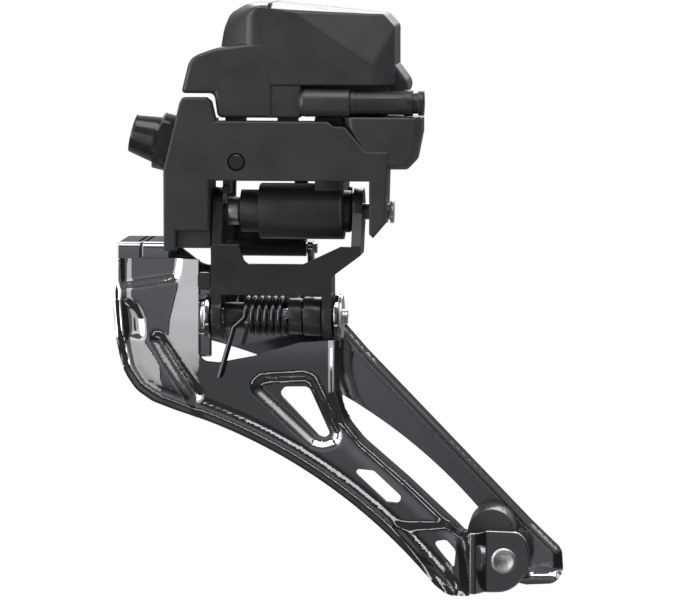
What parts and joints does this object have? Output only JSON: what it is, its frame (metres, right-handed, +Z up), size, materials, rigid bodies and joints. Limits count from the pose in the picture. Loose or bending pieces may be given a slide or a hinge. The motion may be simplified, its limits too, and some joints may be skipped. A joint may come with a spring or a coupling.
{
  "type": "front derailleur",
  "caption": "Electrically driven front derailleur: a bracket with motor unit swings a chrome chain cage on four pivots to move a bicycle chain between two rings.",
  "frame": {"origin": "middle of the hollow seat that lies against the frame's hanger, on the fixing bolt's axis", "axes": "+X to the rear of the bicycle, +Y outboard (away from the seat tube), +Z up"},
  "size_m": [0.09, 0.0237, 0.1183],
  "materials": {
    "bracket_black": "satin black coat on cast aluminium",
    "case_dark_grey": "fine-grained dark grey",
    "moulded_black": "satin black moulding",
    "screw_black": "glossy black coat on steel",
    "coated_steel": "satin black coat on pressed steel",
    "cage_chrome": "dark polished chrome",
    "pin_steel": "bright turned steel",
    "spring_steel": "dark oiled spring wire",
    "bush_bronze": "sintered bronze",
    "gear_steel": "cut steel",
    "seal_rubber": "matt black",
    "board_green": "solder resist",
    "chip_black": "moulded chips",
    "spacer_dark": "dark coated"
  },
  "bodies": {
    "bracket": {"bracket": "bracket_black", "shaft_bushes": "bush_bronze", "outer_link_upper_pin": "pin_steel", "output_housing": "moulded_black", "gearbox_cover": "moulded_black", "gearbox_screws": "screw_black", "barrel_bushes": "bush_bronze", "shaft_seal": "seal_rubber", "gear_axles": "pin_steel", "position_sensor": "chip_black", "left_cover": "case_dark_grey", "motor_case": "case_dark_grey", "unit_gasket": "seal_rubber", "motor_can": "pin_steel", "motor_cradle": "moulded_black", "circuit_board": "board_green", "board_chips": "chip_black", "unit_screws": "screw_black", "cable_socket": "moulded_black", "socket_pins": "bush_bronze", "socket_holder": "moulded_black"},
    "inner_link": {"inner_link": "coated_steel", "output_shaft": "pin_steel", "output_collar": "pin_steel", "output_gear": "gear_steel", "sensor_magnet": "chip_black"},
    "outer_link": {"outer_link": "coated_steel"},
    "cage": {"inner_plate": "cage_chrome", "outer_plate": "cage_chrome", "cage_bridge": "cage_chrome", "stop_block": "moulded_black", "lower_pin": "pin_steel", "pin_clip": "pin_steel", "pin_collars": "coated_steel", "outer_link_lower_pin": "pin_steel", "return_spring": "spring_steel", "tail_spacer": "spacer_dark", "tail_rivet": "cage_chrome"},
    "second_gear": {"second_gear": "gear_steel"},
    "first_gear": {"first_gear": "gear_steel"},
    "motor_rotor": {"motor_pinion": "gear_steel"},
    "fixing_bolt": {"fixing_bolt": "screw_black"},
    "radius_washer": {"radius_washer": "screw_black"},
    "support_bolt": {"support_bolt": "screw_black"},
    "stroke_screw": {"stroke_screw": "screw_black"}
  },
  "joints": [
    {"name": "link_swing", "type": "hinge", "parent": "bracket", "child": "inner_link", "pos_m": [0.02, 0, -0.0133], "axis": [1, 0, 0], "range_deg": [0, 26]},
    {"name": "outer_link_swing", "type": "hinge", "parent": "bracket", "child": "outer_link", "pos_m": [0.016, 0.012, -0.0007], "axis": [1, 0, 0], "range_deg": [-0.5, 26.5]},
    {"name": "cage_swing", "type": "hinge", "parent": "inner_link", "child": "cage", "pos_m": [0.02, -0.004, -0.034], "axis": [1, 0, 0], "range_deg": [-26.5, 0.5], "deforming": ["return_spring"]},
    {"name": "second_gear_turn", "type": "hinge", "parent": "bracket", "child": "second_gear", "pos_m": [0.03, 0.00355, -0.00569], "axis": [1, 0, 0], "range_deg": [-66, 1]},
    {"name": "first_gear_turn", "type": "hinge", "parent": "bracket", "child": "first_gear", "pos_m": [0.031, 0.00501, 0.00259], "axis": [1, 0, 0], "range_deg": [-1, 164]},
    {"name": "motor_turn", "type": "hinge", "parent": "bracket", "child": "motor_rotor", "pos_m": [0.031, 0.00501, 0.01098], "axis": [1, 0, 0], "range_deg": [-408, 1]},
    {"name": "fixing_bolt_travel", "type": "slide", "parent": "bracket", "child": "fixing_bolt", "axis": [-0.9703, 0, 0.2419], "range_m": [0, 0.005]},
    {"name": "washer_travel", "type": "slide", "parent": "bracket", "child": "radius_washer", "axis": [-0.9703, 0, 0.2419], "range_m": [0, 0.0025]},
    {"name": "support_bolt_travel", "type": "slide", "parent": "bracket", "child": "support_bolt", "axis": [0, -1, 0], "range_m": [-0.001, 0.004]},
    {"name": "stroke_screw_travel", "type": "slide", "parent": "bracket", "child": "stroke_screw", "axis": [0, -1, 0], "range_m": [-0.001, 0.001]}
  ],
  "couplings": [
    {"joint": "outer_link_swing", "follows": "link_swing", "ratio": 1},
    {"joint": "cage_swing", "follows": "link_swing", "ratio": -1},
    {"joint": "second_gear_turn", "follows": "link_swing", "ratio": -2.5},
    {"joint": "first_gear_turn", "follows": "link_swing", "ratio": 6.25},
    {"joint": "motor_turn", "follows": "link_swing", "ratio": -15.625},
    {"joint": "washer_travel", "follows": "fixing_bolt_travel", "ratio": 0.5}
  ]
}
